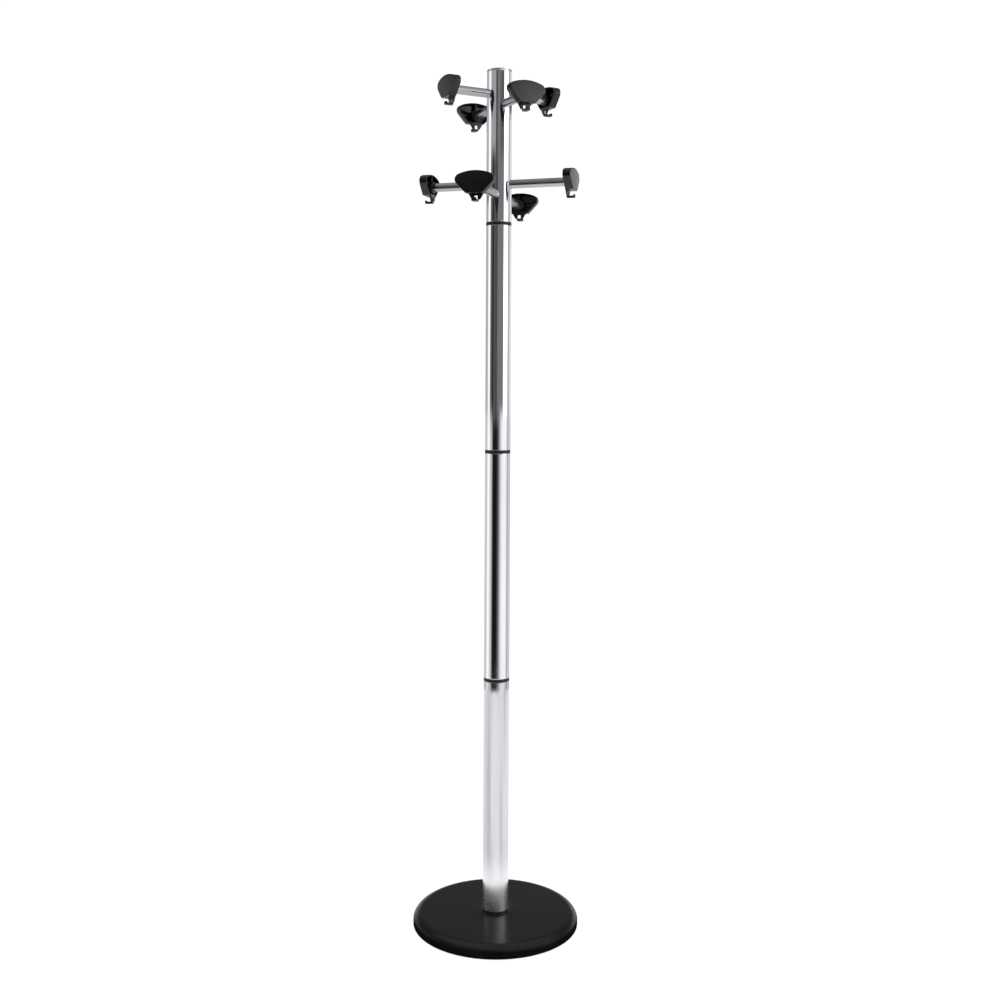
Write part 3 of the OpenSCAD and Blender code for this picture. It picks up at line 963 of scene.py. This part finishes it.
def pegs():
    """A head on each arm end; all eight share one mesh."""
    mesh = peg_mesh()
    for node, (arm, turn) in PEGS.items():
        height, _, half = arm_facts(arm)
        up = Matrix.Translation((0, 0, height))
        round_pole = Matrix.Rotation(radians(ARMS[arm] + turn), 4, "Z")
        out = Matrix.Translation((half + ARM_INSET * MM, 0, 0))
        where = up @ round_pole @ out
        place_piece(mesh, node + "_head", [node], where)


# ---------------------------------------------------------------- studio
# Turns are degrees round the pole, 0 towards the camera and positive to its right; rises are elevations.
# A line is where one row starts to give way to the next and where it has; shades are strengths of light.
# The seen shade is the plain background that the camera itself looks at.
FLOOR_LINE = (-2.1, -1.1)
MIDDLE_LINE = (9.9, 11.2)
UPPER_LINE = (14, 18)
CEILING_LINE = (40, 55)
WALL_SHADES = (0.60, 0.85)
CEILING_SHADE = 0.52
SEEN_SHADE = 1.05

# Panels in the order in which they hang: from turn, to turn, softness, shade, rows that they cover
PANELS = (
    (-104, -76, 8, 1.25, "all"),
    (-78, -30, 4, (0.20, 0.42), "level"),
    (-30, 48, 4, 0.21, "level"),
    (-68, -8, 6, 0.10, "middle"),
    (-56, -44, 4, 0.02, "middle"),
    (-28, -14, 5, 0.08, "level"),
    (12, 44, 6, 0.12, "high"),
    (48, 90, 4, 2.7, "level"),
    (90, 116, 5, 0.55, "all"),
    (122, 158, 6, 0.9, "level"),
    (-150, -110, 8, 0.5, "level"),
    (20, 88, 12, 1.15, "low"),
)

# The dark doorway low down, and the row above the panels
DOOR_NEAR = (-64, -40)
DOOR_FAR = (-12, 50)
DOOR_DARK = 0.985
FRONT_WINDOW = (10, 100, 15)
FRONT_SHADES = (0.25, 0.85)
BACK_LINE = (100, 140)
BACK_SHADE = 0.13


def studio():
    """Pale floor, soft light and surroundings that the chrome mirrors."""
    rings = [[(x, y, z) for x, y in circle(FLOOR_R, 128)] for z in (-0.02, 0.0)]
    floor_mesh = mesh_from("floor_disc", *loft(rings))
    floor_mesh.materials.append(FLOOR)
    floor = bpy.data.objects.new("studio_floor", floor_mesh)
    bpy.context.scene.collection.objects.link(floor)
    soft_light("overhead_soft_light", at=(0.2, -0.3, 3.6), size=2.4, power=60, aim=(0, 0, 0.8))
    surroundings()


def soft_light(name, at, size, power, aim):
    """A round area light that no surface mirrors."""
    data = bpy.data.lights.new(name, "AREA")
    data.shape = "DISK"
    data.size = size
    data.energy = power
    lamp = bpy.data.objects.new(name, data)
    lamp.location = at
    lamp.rotation_euler = (Vector(aim) - Vector(at)).to_track_quat("-Z", "Y").to_euler()
    lamp.visible_glossy = False
    bpy.context.scene.collection.objects.link(lamp)


def surroundings():
    """A white studio with a dark side behind the camera, as the pole mirrors it."""
    world = bpy.data.worlds.new("studio")
    bpy.context.scene.world = world
    world.use_nodes = True
    net = Net(world.node_tree)
    ray = net.node("ShaderNodeTexCoord", {}, {}, "Generated")

    def toward(direction):
        """How far a ray points in this direction, from -1 to 1."""
        values = {0: ray, 1: direction}
        return net.node("ShaderNodeVectorMath", {"operation": "DOT_PRODUCT"}, values, "Value")

    def band(value, low, high, soft):
        """1 from low to high, 0 elsewhere, with soft ends."""
        return value.between(low - soft, low + soft) * (1 - value.between(high - soft, high + soft))

    ahead, right, up = toward(TO_CAMERA), toward(TO_RIGHT), toward(WORLD_UP)
    turn = right.math("ARCTAN2", right, ahead) * (180 / pi)
    rise = up.math("ARCSINE", up) * (180 / pi)

    streaks = net.node("ShaderNodeCombineXYZ", {}, {"X": turn * 0.07})
    streaks = net.noise(streaks, 1.0, 3.0)
    light = streaks.between(0.35, 0.65, *WALL_SHADES)

    level = rise.between(*FLOOR_LINE)
    high = rise.between(*MIDDLE_LINE)
    low = 1 - level
    rows = {"all": 1.0, "level": level, "middle": level - high, "high": high, "low": low}
    for start, end, soft, shade, row in PANELS:
        if isinstance(shade, tuple):
            shade = high * (shade[1] - shade[0]) + shade[0]
        light = light + (shade - light) * (band(turn, start, end, soft) * rows[row])

    door = turn.between(*DOOR_NEAR) * (1 - turn.between(*DOOR_FAR)) * low
    light = light * (1 - door * DOOR_DARK)

    dim, bright = FRONT_SHADES
    front = band(turn, *FRONT_WINDOW) * (bright - dim) + dim
    behind = turn.math("ABSOLUTE", turn).between(*BACK_LINE)
    top_row = front + (BACK_SHADE - front) * behind
    light = light + (top_row - light) * rise.between(*UPPER_LINE)
    light = light + (CEILING_SHADE - light) * rise.between(*CEILING_LINE)

    camera_ray = net.node("ShaderNodeLightPath", {}, {}, "Is Camera Ray")
    shown = light + (SEEN_SHADE - light) * camera_ray
    glow = net.node("ShaderNodeBackground", {}, {"Color": (1, 1, 1, 1), "Strength": shown})
    net.node("ShaderNodeOutputWorld", {}, {"Surface": glow})


def camera():
    """A level camera; the lens is shifted to frame the rack."""
    data = bpy.data.cameras.new("view")
    data.lens = VIEW_LENS
    data.sensor_width = VIEW_SENSOR
    data.shift_x, data.shift_y = SHIFT
    data.clip_end = VIEW_FAR
    eye = bpy.data.objects.new("view", data)
    eye.location = TO_CAMERA * VIEW_DISTANCE + WORLD_UP * VIEW_HEIGHT
    level = (-TO_CAMERA).to_track_quat("-Z", "Y")
    eye.rotation_mode = "QUATERNION"
    eye.rotation_quaternion = level @ Matrix.Rotation(VIEW_ROLL, 4, "Z").to_quaternion()
    bpy.context.scene.collection.objects.link(eye)
    bpy.context.scene.camera = eye


def keep_cad_nodes():
    """Finishes on the CAD solids that stay as they are."""
    for node, slot in NODE_SLOT.items():
        solid = frame["nodes"][node]
        solid.data.materials.clear()
        solid.data.materials.append(SLOT_FINISH[slot])


camera()
keep_cad_nodes()
pole_tubes()
plugs()
washers()
studs()
top_tube()
cap()
arms()
base_cover()
feet()
pegs()
studio()
bpy.context.scene.view_settings.view_transform = "Standard"
